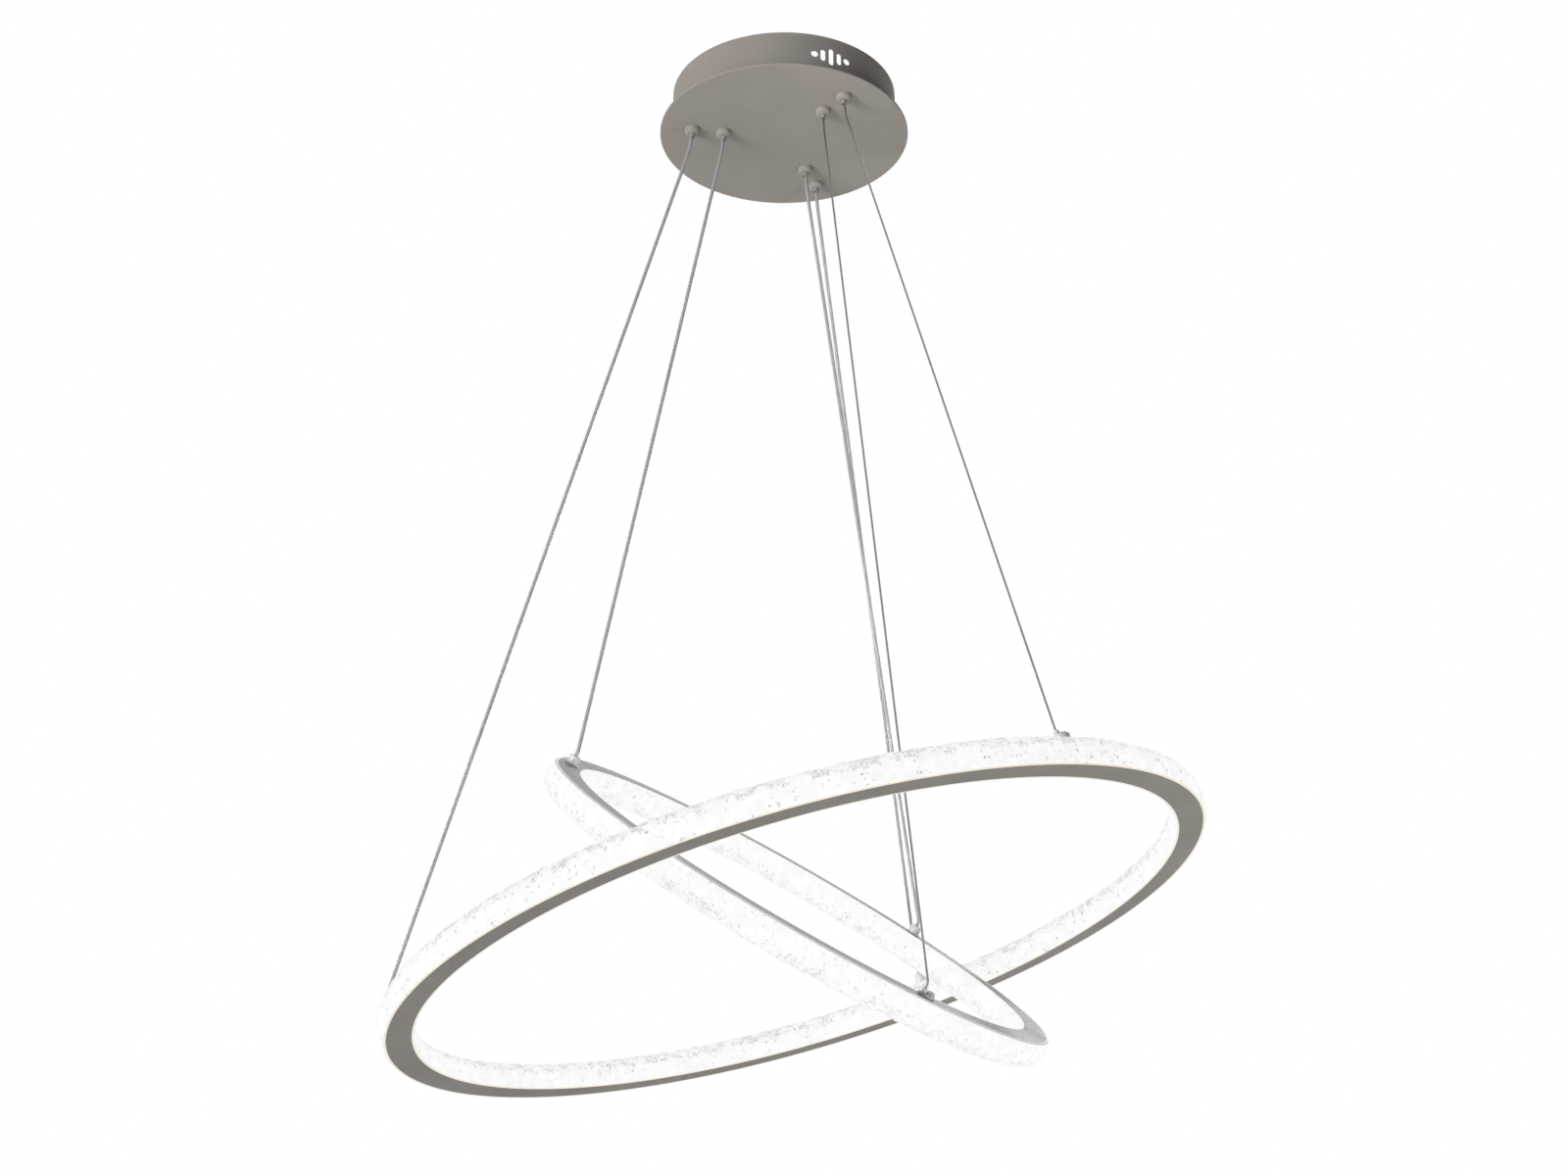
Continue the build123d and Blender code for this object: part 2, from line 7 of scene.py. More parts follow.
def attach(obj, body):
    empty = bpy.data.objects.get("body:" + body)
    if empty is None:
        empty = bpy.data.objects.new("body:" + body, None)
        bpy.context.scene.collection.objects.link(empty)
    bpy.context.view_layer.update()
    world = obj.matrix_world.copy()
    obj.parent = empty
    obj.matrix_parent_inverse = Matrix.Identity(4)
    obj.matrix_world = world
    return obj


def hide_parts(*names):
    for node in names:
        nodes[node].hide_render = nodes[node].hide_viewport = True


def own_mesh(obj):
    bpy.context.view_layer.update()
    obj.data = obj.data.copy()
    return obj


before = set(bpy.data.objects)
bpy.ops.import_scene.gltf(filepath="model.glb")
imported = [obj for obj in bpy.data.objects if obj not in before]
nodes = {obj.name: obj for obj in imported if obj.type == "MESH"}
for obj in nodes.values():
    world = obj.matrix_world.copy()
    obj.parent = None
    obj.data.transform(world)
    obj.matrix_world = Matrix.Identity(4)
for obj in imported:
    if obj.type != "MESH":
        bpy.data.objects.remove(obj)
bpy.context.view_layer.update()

scene = bpy.context.scene
scene.view_settings.view_transform = "Standard"
print("frame loaded,", len(nodes), "nodes")

# camera at the photo's place: low, near the rings, tilted up towards the canopy
eye = {"place": (0.0, -1.7034, -1.1637), "up": 23.2, "lens": 57.07, "sensor": 36.0}
camData = bpy.data.cameras.new("eye")
camData.lens = eye["lens"]
camData.sensor_width = eye["sensor"]
camera = bpy.data.objects.new("eye", camData)
camera.location = eye["place"]
camera.rotation_euler = (radians(90 + eye["up"]), 0, 0)
scene.collection.objects.link(camera)
scene.camera = camera


# shared helpers for shader groups and materials

def newGroup(name, inputs, outputs):
    tree = bpy.data.node_groups.new(name, "ShaderNodeTree")
    for label, value in inputs.items():
        kind = "NodeSocketColor" if isinstance(value, tuple) else "NodeSocketFloat"
        socket = tree.interface.new_socket(name=label, in_out="INPUT", socket_type=kind)
        socket.default_value = value
    for label in outputs:
        kind = "NodeSocketColor" if label == "Color" else "NodeSocketFloat"
        tree.interface.new_socket(name=label, in_out="OUTPUT", socket_type=kind)
    given = tree.nodes.new("NodeGroupInput").outputs
    result = tree.nodes.new("NodeGroupOutput").inputs
    where = tree.nodes.new("ShaderNodeTexCoord").outputs["Object"]
    return tree, given, result, where


def feed(tree, value, socket):
    if isinstance(value, (int, float, tuple)):
        socket.default_value = value
    else:
        tree.links.new(value, socket)


def putOut(tree, result, values):
    for label, value in values.items():
        tree.links.new(value, result[label])


def addMath(tree, work, a, b=None, clamp=False):
    node = tree.nodes.new("ShaderNodeMath")
    node.operation = work
    node.use_clamp = clamp
    feed(tree, a, node.inputs[0])
    if b is not None:
        feed(tree, b, node.inputs[1])
    return node.outputs[0]


def addMix(tree, factor, a, b, blend="MIX"):
    node = tree.nodes.new("ShaderNodeMix")
    node.data_type = "RGBA"
    node.blend_type = blend
    for slot, value in ((0, factor), (6, a), (7, b)):  # the sockets of a colour mix
        feed(tree, value, node.inputs[slot])
    return node.outputs[2]


def addRange(tree, value, span, into=(0.0, 1.0), smooth=False):
    node = tree.nodes.new("ShaderNodeMapRange")
    node.interpolation_type = "SMOOTHSTEP" if smooth else "LINEAR"
    labels = ("Value", "From Min", "From Max", "To Min", "To Max")
    for label, setting in zip(labels, (value, *span, *into)):
        feed(tree, setting, node.inputs[label])
    return node.outputs["Result"]


def addNoise(tree, where, scale, detail, rough=0.55):
    node = tree.nodes.new("ShaderNodeTexNoise")
    for label, setting in (("Vector", where), ("Scale", scale), ("Detail", detail), ("Roughness", rough)):
        feed(tree, setting, node.inputs[label])
    return node.outputs["Fac"]


def addVoronoi(tree, where, scale, feature="F1"):
    node = tree.nodes.new("ShaderNodeTexVoronoi")
    node.feature = feature
    feed(tree, where, node.inputs["Vector"])
    feed(tree, scale, node.inputs["Scale"])
    return node.outputs


def cellNumbers(tree, cells):
    node = tree.nodes.new("ShaderNodeSeparateColor")
    tree.links.new(cells["Color"], node.inputs[0])
    return node.outputs


def newMaterial(name, rough=0.5, metal=0.0, specular=0.5):
    mat = bpy.data.materials.new(name)
    mat.use_nodes = True
    shader = mat.node_tree.nodes["Principled BSDF"]
    shader.inputs["Roughness"].default_value = rough
    shader.inputs["Metallic"].default_value = metal
    shader.inputs["Specular IOR Level"].default_value = specular
    return mat, mat.node_tree, shader


def place(tree, group, values):
    node = tree.nodes.new("ShaderNodeGroup")
    node.node_tree = group
    for label, value in values.items():
        node.inputs[label].default_value = value
    return node


def addBump(tree, shader, height, strength, depth):
    bump = tree.nodes.new("ShaderNodeBump")
    bump.inputs["Strength"].default_value = strength
    bump.inputs["Distance"].default_value = depth
    tree.links.new(height, bump.inputs["Height"])
    tree.links.new(bump.outputs["Normal"], shader.inputs["Normal"])


def dress(tree, shader, grain):
    tree.links.new(grain.outputs["Color"], shader.inputs["Base Color"])
    tree.links.new(grain.outputs["Roughness"], shader.inputs["Roughness"])


surfaceOut = ("Color", "Roughness", "Height")

# sprayed paint: faint cloudiness, orange peel, dust specks and a little gloss variation
paintLook = {"cloudDetail": 3.0, "cloudSpan": (0.35, 0.65), "glossSpan": (0.3, 0.7), "peelDetail": 2.0,
             "speckScale": 260.0, "speckSpan": (0.05, 0.09), "speckShare": 0.12, "speckRise": 0.5,
             "speckTone": (0.6, 0.58, 0.54, 1), "bump": 0.06, "depth": 0.0002}
paint, given, result, where = newGroup(
    "sprayedPaint",
    {"Body": (0.27, 0.25, 0.22, 1), "Cloud": (0.25, 0.23, 0.2, 1), "Peel Scale": 900.0, "Cloud Scale": 14.0,
     "Gloss Low": 0.34, "Gloss High": 0.46}, surfaceOut)
cloud = addNoise(paint, where, given["Cloud Scale"], paintLook["cloudDetail"])
peel = addNoise(paint, where, given["Peel Scale"], paintLook["peelDetail"])
dust = addVoronoi(paint, where, paintLook["speckScale"])["Distance"]
speck = addRange(paint, dust, paintLook["speckSpan"], (1.0, 0.0))
cloudShare = addRange(paint, cloud, paintLook["cloudSpan"], smooth=True)
tone = addMix(paint, cloudShare, given["Body"], given["Cloud"])
speckShare = addMath(paint, "MULTIPLY", speck, paintLook["speckShare"])
speckRise = addMath(paint, "MULTIPLY", speck, paintLook["speckRise"])
putOut(paint, result, {
    "Color": addMix(paint, speckShare, tone, paintLook["speckTone"]),
    "Roughness": addRange(paint, cloud, paintLook["glossSpan"], (given["Gloss Low"], given["Gloss High"])),
    "Height": addMath(paint, "ADD", peel, speckRise)})

# plated metal: crystal patches and fine scratches, with the gloss following both
plateLook = {"stretch": (1.0, 1.0, 0.12), "lean": (0.5, 0.9, 0.2), "scratchDetail": 5.0, "patchShare": 0.45,
             "scratchShare": 0.55, "glossSpan": (0.2, 0.8), "bump": 0.08, "depth": 0.0001}
plated, given, result, where = newGroup(
    "platedMetal",
    {"Bright": (0.72, 0.72, 0.73, 1), "Dull": (0.5, 0.5, 0.51, 1), "Patch Scale": 160.0,
     "Scratch Scale": 700.0, "Gloss Low": 0.22, "Gloss High": 0.42}, surfaceOut)
stretch = plated.nodes.new("ShaderNodeMapping")
stretch.inputs["Scale"].default_value = plateLook["stretch"]
stretch.inputs["Rotation"].default_value = plateLook["lean"]
plated.links.new(where, stretch.inputs["Vector"])
patch = cellNumbers(plated, addVoronoi(plated, where, given["Patch Scale"]))[0]
scratch = addNoise(plated, stretch.outputs["Vector"], given["Scratch Scale"], plateLook["scratchDetail"])
tone = addMath(plated, "ADD", addMath(plated, "MULTIPLY", patch, plateLook["patchShare"]),
               addMath(plated, "MULTIPLY", scratch, plateLook["scratchShare"]))
putOut(plated, result, {
    "Color": addMix(plated, tone, given["Bright"], given["Dull"]),
    "Roughness": addRange(plated, tone, plateLook["glossSpan"], (given["Gloss Low"], given["Gloss High"])),
    "Height": scratch})

# moulded plastic: fine spark-eroded grain and slight flow clouds
mouldLook = {"grainDetail": 2.0, "grainRough": 0.7, "flowDetail": 3.0, "flowSpan": (0.3, 0.7),
             "glossSpan": (0.3, 0.7)}
moulded, given, result, where = newGroup(
    "mouldedPlastic",
    {"Body": (0.8, 0.8, 0.78, 1), "Flow": (0.74, 0.74, 0.72, 1), "Grain Scale": 1500.0, "Flow Scale": 40.0,
     "Gloss Low": 0.3, "Gloss High": 0.5}, surfaceOut)
grain = addNoise(moulded, where, given["Grain Scale"], mouldLook["grainDetail"], mouldLook["grainRough"])
flow = addNoise(moulded, where, given["Flow Scale"], mouldLook["flowDetail"])
flowShare = addRange(moulded, flow, mouldLook["flowSpan"], smooth=True)
putOut(moulded, result, {
    "Color": addMix(moulded, flowShare, given["Body"], given["Flow"]),
    "Roughness": addRange(moulded, grain, mouldLook["glossSpan"], (given["Gloss Low"], given["Gloss High"])),
    "Height": grain})

# crackled acrylic: cells of slightly different tone, and scattered grey flecks where the light is bent away
crackleLook = {"bendScale": 320.0, "bendBy": (0.004, 0.004, 0.004), "seamSpan": (0.02, 0.1), "seamDepth": 0.3,
               "cellRise": 0.6, "clusterScale": 110.0, "clusterDetail": 2.0, "clusterSpan": (0.42, 0.66),
               "clusterShare": (0.15, 1.9), "flakeSpan": (0.02, 0.16), "flakeDepth": (0.35, 1.0)}
crackled, given, result, where = newGroup(
    "crackle", {"Cell Scale": 190.0, "Fleck Scale": 430.0, "Fleck Share": 0.2}, ("Tone", "Fleck", "Height"))
bend = crackled.nodes.new("ShaderNodeTexNoise")
bend.inputs["Scale"].default_value = crackleLook["bendScale"]
crackled.links.new(where, bend.inputs["Vector"])
shift = crackled.nodes.new("ShaderNodeVectorMath")
shift.operation = "MULTIPLY_ADD"
for value, socket in zip((bend.outputs["Color"], crackleLook["bendBy"], where), shift.inputs):
    feed(crackled, value, socket)
bent = shift.outputs[0]
cell = cellNumbers(crackled, addVoronoi(crackled, bent, given["Cell Scale"]))
seam = addVoronoi(crackled, bent, given["Cell Scale"], "DISTANCE_TO_EDGE")["Distance"]
seamLine = addRange(crackled, seam, crackleLook["seamSpan"], (crackleLook["seamDepth"], 0.0), True)
cellRise = addMath(crackled, "MULTIPLY", cell[1], crackleLook["cellRise"])
# a fleck is one small cell in a few, more of them where the clusters are
flake = cellNumbers(crackled, addVoronoi(crackled, bent, given["Fleck Scale"]))
flakeEdge = addVoronoi(crackled, bent, given["Fleck Scale"], "DISTANCE_TO_EDGE")["Distance"]
cluster = addNoise(crackled, where, crackleLook["clusterScale"], crackleLook["clusterDetail"])
clusterShare = addRange(crackled, cluster, crackleLook["clusterSpan"], crackleLook["clusterShare"], True)
fleckShare = addMath(crackled, "MULTIPLY", clusterShare, given["Fleck Share"])
picked = addMath(crackled, "LESS_THAN", flake[0], fleckShare)
flakeBody = addRange(crackled, flakeEdge, crackleLook["flakeSpan"], smooth=True)
flakeDepth = addRange(crackled, flake[1], (0.0, 1.0), crackleLook["flakeDepth"])
putOut(crackled, result, {
    "Tone": addMath(crackled, "SUBTRACT", cell[0], seamLine),
    "Fleck": addMath(crackled, "MULTIPLY", addMath(crackled, "MULTIPLY", picked, flakeBody), flakeDepth),
    "Height": addMath(crackled, "ADD", cellRise, seam)})
print("shader groups ready")


# finishes: each takes its two tones, and the low and high end of its gloss

def paintFinish(name, body, cloud, gloss, specular):
    mat, tree, shader = newMaterial(name, specular=specular)
    grain = place(tree, paint, {"Body": body + (1,), "Cloud": cloud + (1,),
                                "Gloss Low": gloss[0], "Gloss High": gloss[1]})
    dress(tree, shader, grain)
    addBump(tree, shader, grain.outputs["Height"], paintLook["bump"], paintLook["depth"])
    return mat


def metalFinish(name, bright, dull, patch, scratch, gloss, metal=1.0):
    mat, tree, shader = newMaterial(name, metal=metal)
    grain = place(tree, plated, {"Bright": bright + (1,), "Dull": dull + (1,), "Patch Scale": patch,
                                 "Scratch Scale": scratch, "Gloss Low": gloss[0], "Gloss High": gloss[1]})
    dress(tree, shader, grain)
    addBump(tree, shader, grain.outputs["Height"], plateLook["bump"], plateLook["depth"])
    return mat


def mouldFinish(name, body, flow, grain, gloss, bump=0.1, depth=0.0001, glow=0.0):
    mat, tree, shader = newMaterial(name)
    skin = place(tree, moulded, {"Body": body + (1,), "Flow": flow + (1,), "Grain Scale": grain,
                                 "Gloss Low": gloss[0], "Gloss High": gloss[1]})
    dress(tree, shader, skin)
    addBump(tree, shader, skin.outputs["Height"], bump, depth)
    if glow:
        tree.links.new(skin.outputs["Color"], shader.inputs["Emission Color"])
        shader.inputs["Emission Strength"].default_value = glow
    return mat


canopyPaint = paintFinish("canopyPaint", (0.27, 0.25, 0.23), (0.255, 0.236, 0.217),
                          gloss=(0.72, 0.82), specular=0.07)
gripperPaint = paintFinish("gripperPaint", (0.262, 0.245, 0.226), (0.24, 0.224, 0.206),
                           gloss=(0.5, 0.6), specular=0.2)
ringPaint = paintFinish("ringPaint", (0.184, 0.175, 0.157), (0.17, 0.162, 0.145),
                        gloss=(0.48, 0.56), specular=0.3)
zincSteel = metalFinish("zincSteel", (0.74, 0.74, 0.75), (0.5, 0.51, 0.53),
                        patch=420.0, scratch=900.0, gloss=(0.22, 0.4))
satinNickel = metalFinish("satinNickel", (0.58, 0.57, 0.6), (0.5, 0.49, 0.52),
                          patch=420.0, scratch=900.0, gloss=(0.6, 0.75), metal=0.15)
galvanised = metalFinish("galvanised", (0.46, 0.47, 0.48), (0.31, 0.32, 0.34),
                         patch=120.0, scratch=500.0, gloss=(0.5, 0.66))
brass = metalFinish("brass", (0.83, 0.66, 0.33), (0.6, 0.45, 0.2),
                    patch=300.0, scratch=800.0, gloss=(0.22, 0.38))
driverCase = mouldFinish("driverCase", (0.83, 0.83, 0.81), (0.79, 0.79, 0.76),
                         grain=1100.0, gloss=(0.45, 0.6), bump=0.2)
terminalNylon = mouldFinish("terminalNylon", (0.84, 0.82, 0.74), (0.78, 0.76, 0.68),
                            grain=1600.0, gloss=(0.35, 0.5))
foamTape = mouldFinish("foamTape", (0.035, 0.035, 0.036), (0.02, 0.02, 0.021),
                       grain=900.0, gloss=(0.8, 0.95), bump=0.7, depth=0.0005)
# clear grey gland, with a painted glow standing in for light from inside the ring
glandPlastic = mouldFinish("glandPlastic", (0.56, 0.55, 0.57), (0.49, 0.48, 0.5),
                           grain=1400.0, gloss=(0.3, 0.45), glow=0.22)

# smooth white solder mask with a warm glow from the light chips
boardLook = {"body": (0.88, 0.86, 0.78, 1), "flow": (0.84, 0.8, 0.68, 1), "flowScale": 60.0, "glow": 0.8}
ledBoard, tree, shader = newMaterial("ledBoard")
mask = place(tree, moulded, {"Body": boardLook["body"], "Flow": boardLook["flow"],
                             "Flow Scale": boardLook["flowScale"]})
dress(tree, shader, mask)
tree.links.new(mask.outputs["Color"], shader.inputs["Emission Color"])
shader.inputs["Emission Strength"].default_value = boardLook["glow"]


# acrylic of a ring: a glow with crackle and flecks, read along the ring and from the crest to the plate

def crystalFinish(name, look):
    mat, tree, shader = newMaterial(name, rough=look["rough"], specular=look["specular"])
    uv = tree.nodes.new("ShaderNodeUVMap")
    uv.uv_map = "wrap"
    split = tree.nodes.new("ShaderNodeSeparateXYZ")
    tree.links.new(uv.outputs["UV"], split.inputs[0])
    along, outward = split.outputs["X"], split.outputs["Y"]
    inward = addMath(tree, "MULTIPLY", outward, -1.0)
    lip = addMath(tree, "ABSOLUTE", outward)  # 0 on the crest, 1 where the tube meets the plate
    crackle = place(tree, crackled, {"Cell Scale": look["cell"], "Fleck Scale": look["fleck"]})
    # flecks crowd the crest and thin out on both flanks
    outerShare = addRange(tree, outward, look["fleckSpan"], (look["crestShare"], look["outerShare"]), True)
    innerShare = addRange(tree, inward, look["fleckSpan"], (look["crestShare"], look["innerShare"]), True)
    tree.links.new(addMath(tree, "MINIMUM", outerShare, innerShare), crackle.inputs["Fleck Share"])
    # the crest glows greyer than the flanks: the light fades away from the chips at the plate, and the grey
    # is also painted shade for the tube's edge
    glow = addMix(tree, addRange(tree, lip, look["flankSpan"], smooth=True), look["crest"], look["flank"])
    dim = addRange(tree, crackle.outputs["Tone"], (0.0, 1.0), (look["cellDepth"], 0.0))
    glow = addMix(tree, dim, glow, look["shade"])
    grey = addMath(tree, "MULTIPLY", crackle.outputs["Fleck"], look["fleckDepth"])
    glow = addMix(tree, grey, glow, look["fleckTone"])
    # the plate's edge shows through the clear lip, tinted by the light that leaks out there
    for flank, edge in ((outward, look["outerEdge"]), (inward, look["innerEdge"])):
        leak = addRange(tree, flank, edge["span"], (0.0, edge["share"]), True)
        glow = addMix(tree, leak, glow, edge["tone"])
    # one faint warm spot at each light chip
    wave = addMath(tree, "SINE", addMath(tree, "MULTIPLY", along, 2 * pi * look["chips"]))
    spot = addMath(tree, "MULTIPLY", addRange(tree, wave, look["chipSpan"], (0.0, look["spot"]), True),
                   addRange(tree, lip, look["spotSpan"], smooth=True))
    glow = addMix(tree, spot, glow, look["spotTone"])
    glow = addMix(tree, addRange(tree, lip, look["lipSpan"]), glow, look["lip"])
    tree.links.new(glow, shader.inputs["Emission Color"])
    shader.inputs["Emission Strength"].default_value = look["glow"]
    tree.links.new(addMix(tree, 1.0, glow, look["bodyTone"], "MULTIPLY"), shader.inputs["Base Color"])
    addBump(tree, shader, crackle.outputs["Height"], look["bump"], look["depth"])
    return mat


bigLook = {"rough": 0.5, "specular": 0.0, "cell": 170.0, "cellDepth": 0.6, "shade": (0.88, 0.885, 0.895, 1),
           "fleck": 560.0, "fleckSpan": (0.42, 0.66), "crestShare": 0.66, "outerShare": 0.07,
           "innerShare": 0.06, "fleckTone": (0.34, 0.35, 0.35, 1), "fleckDepth": 0.66,
           "flankSpan": (0.1, 0.75), "crest": (0.89, 0.9, 0.915, 1), "flank": (1.0, 1.0, 0.995, 1),
           "outerEdge": {"span": (0.974, 0.994), "share": 0.62, "tone": (0.8, 0.56, 0.28, 1)},
           "innerEdge": {"span": (0.978, 0.996), "share": 0.55, "tone": (0.8, 0.56, 0.28, 1)},
           "chips": 72, "chipSpan": (0.55, 1.0), "spotSpan": (0.9, 0.98), "spot": 0.42,
           "spotTone": (1.0, 0.9, 0.62, 1), "lipSpan": (1.0, 1.006), "lip": (0.86, 0.83, 0.78, 1),
           "glow": 0.96, "bodyTone": (0.05, 0.05, 0.05, 1), "bump": 0.25, "depth": 0.0008}
smallLook = dict(bigLook, crest=(0.94, 0.945, 0.945, 1), shade=(0.89, 0.895, 0.895, 1), crestShare=0.42,
                 outerShare=0.06, innerShare=0.05, chips=48, spot=0.15, fleckDepth=0.48,
                 lip=(0.93, 0.93, 0.95, 1),
                 outerEdge={"span": (0.955, 0.967), "share": 0.72, "tone": (0.4, 0.4, 0.41, 1)},
                 innerEdge={"span": (0.985, 0.998), "share": 0.3, "tone": (0.8, 0.56, 0.28, 1)})

# rings of crackled acrylic: an open C section turned round the ring's axis, with a broken surface
bigCrystal = {"name": "big_crystal", "node": "big_diffuser", "body": "big_ring",
              "centre": (0.0127, -0.0029, -0.7093), "up": (-0.269402, 0.028791, 0.962597), "hangs": False,
              "midR": 0.2854, "steps": 900, "finish": crystalFinish("bigAcrylic", bigLook)}
smallCrystal = {"name": "small_crystal", "node": "small_diffuser", "body": "small_ring",
                "centre": (0.0129, 0.0013, -0.6705), "up": (0.493035, -0.342668, 0.799685), "hangs": True,
                "midR": 0.1888, "steps": 600, "finish": crystalFinish("smallAcrylic", smallLook)}
section = {"tubeR": 0.0134, "wall": 0.0026, "rise": 0.009, "rebateHalf": 0.0089, "rebateDeep": 0.0015,
           "outerSteps": 40, "innerSteps": 16, "weld": 0.000002,
           "cell": 135.0, "facet": 0.12, "leanKeys": (7.1, 3.7, 5.3), "dent": 0.0003, "most": 0.0006,
           "seamSharp": 4, "sink": 0.00015, "skin": 0.0001, "bare": 0.0004, "fade": 0.004}


def arcOf(bm, centre, radius, start, steps):
    first = bm.verts.new(centre + Vector((radius * cos(start), 0, radius * sin(start))))
    made = bmesh.ops.spin(bm, geom=[first], cent=centre, axis=(0, -1, 0), dvec=(0, 0, 0),
                          angle=pi - 2 * start, steps=steps, use_merge=False, use_duplicate=False)
    return first, made["geom_last"][0]


def drawSection(bm, ring, cut):
    # the outer arc, the inner arc, and on both sides the rebate that the plate sits in
    hub = Vector((ring["midR"], 0, cut["rise"]))
    innerR = cut["tubeR"] - cut["wall"]
    outerEnds = arcOf(bm, hub, cut["tubeR"], -asin(cut["rise"] / cut["tubeR"]), cut["outerSteps"])
    innerEnds = arcOf(bm, hub, innerR, -asin((cut["rise"] - cut["rebateDeep"]) / innerR), cut["innerSteps"])
    for side, outerEnd, innerEnd in zip((1, -1), outerEnds, innerEnds):
        stepX = ring["midR"] + side * cut["rebateHalf"]
        low = bm.verts.new((stepX, 0, 0))
        high = bm.verts.new((stepX, 0, cut["rebateDeep"]))
        for a, b in ((outerEnd, low), (low, high), (high, innerEnd)):
            bm.edges.new((a, b))


def wrapRing(bm, ring, cut):
    # first number runs along the ring, second from the crest to the plate, below zero on the inner flank
    wrap = bm.loops.layers.uv.new("wrap")
    lowest = acos(-cut["rise"] / cut["tubeR"])
    for face in bm.faces:
        mid = face.calc_center_median()
        midTurn = atan2(mid.y, mid.x)
        for loop in face.loops:
            p = loop.vert.co
            turn = atan2(p.y, p.x)
            turn += 2 * pi * round((midTurn - turn) / (2 * pi))  # no jump where the ring closes
            slope = atan2(p.xy.length - ring["midR"], p.z - cut["rise"])
            loop[wrap].uv = (turn / (2 * pi) + 0.5, slope / lowest)


def brokenHeight(point, cut):
    near, seeds = noise.voronoi(point * cut["cell"])
    lean = Vector([noise.cell(seeds[0] * key) for key in cut["leanKeys"]])
    tilt = (point * cut["cell"] - seeds[0]).dot(lean) * cut["facet"] / cut["cell"]
    groove = cut["dent"] * (1 - min(1, (near[1] - near[0]) * cut["seamSharp"]))
    return max(-cut["most"], min(cut["most"], tilt)) - groove


def breakSurface(bm, ring, cut):
    # shallow facets on the outer skin, fading out at the plate
    for v in bm.verts:
        spoke = Vector((v.co.x, v.co.y, 0)).normalized() * ring["midR"]
        out = v.co - spoke - Vector((0, 0, cut["rise"]))
        if out.length > cut["tubeR"] - cut["skin"] and v.co.z > cut["bare"]:
            fade = min(1, v.co.z / cut["fade"])
            v.co += out.normalized() * (brokenHeight(v.co, cut) - cut["sink"]) * fade


def makeCrystal(ring, cut):
    bm = bmesh.new()
    drawSection(bm, ring, cut)
    bmesh.ops.spin(bm, geom=list(bm.edges), cent=(0, 0, 0), axis=(0, 0, 1), dvec=(0, 0, 0), angle=2 * pi,
                   steps=ring["steps"], use_merge=True, use_duplicate=False)
    bmesh.ops.remove_doubles(bm, verts=list(bm.verts), dist=cut["weld"])
    bmesh.ops.recalc_face_normals(bm, faces=list(bm.faces))
    wrapRing(bm, ring, cut)
    breakSurface(bm, ring, cut)
    up = Vector(ring["up"])
    along = Vector((0, 1, 0)).cross(up).normalized()
    pose = Matrix((along, up.cross(along), up)).transposed().to_4x4()
    pose.translation = Vector(ring["centre"])
    if ring["hangs"]:  # this tube is below its plate
        pose = pose @ Matrix.Rotation(pi, 4, "X")
    bmesh.ops.transform(bm, matrix=pose, verts=list(bm.verts))
    mesh = bpy.data.meshes.new(ring["name"])
    bm.to_mesh(mesh)
    bm.free()
    mesh.shade_smooth()
    mesh.materials.append(ring["finish"])
    piece = bpy.data.objects.new(ring["name"], mesh)
    scene.collection.objects.link(piece)
    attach(piece, ring["body"])
    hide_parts(ring["node"])
    print(ring["name"], len(mesh.polygons), "faces")


makeCrystal(bigCrystal, section)
makeCrystal(smallCrystal, section)

# clear jacket over bright cores, and steel strands
jacketLook = {"body": (0.56, 0.55, 0.575, 1), "flow": (0.5, 0.49, 0.52, 1), "flowScale": 30.0,
              "grainScale": 600.0, "gloss": (0.05, 0.16), "clear": 0.5, "ior": 1.3}
jacketClear, tree, shader = newMaterial("jacketClear")
dress(tree, shader, place(tree, moulded, {
    "Body": jacketLook["body"], "Flow": jacketLook["flow"], "Flow Scale": jacketLook["flowScale"],
    "Grain Scale": jacketLook["grainScale"], "Gloss Low": jacketLook["gloss"][0],
    "Gloss High": jacketLook["gloss"][1]}))
shader.inputs["Transmission Weight"].default_value = jacketLook["clear"]
shader.inputs["IOR"].default_value = jacketLook["ior"]
coreMetal = metalFinish("coreMetal", (0.62, 0.61, 0.64), (0.47, 0.46, 0.49),
                        patch=500.0, scratch=1200.0, gloss=(0.35, 0.5))
ropeSteel = metalFinish("ropeSteel", (0.31, 0.31, 0.32), (0.2, 0.2, 0.21),
                        patch=900.0, scratch=1500.0, gloss=(0.4, 0.55))

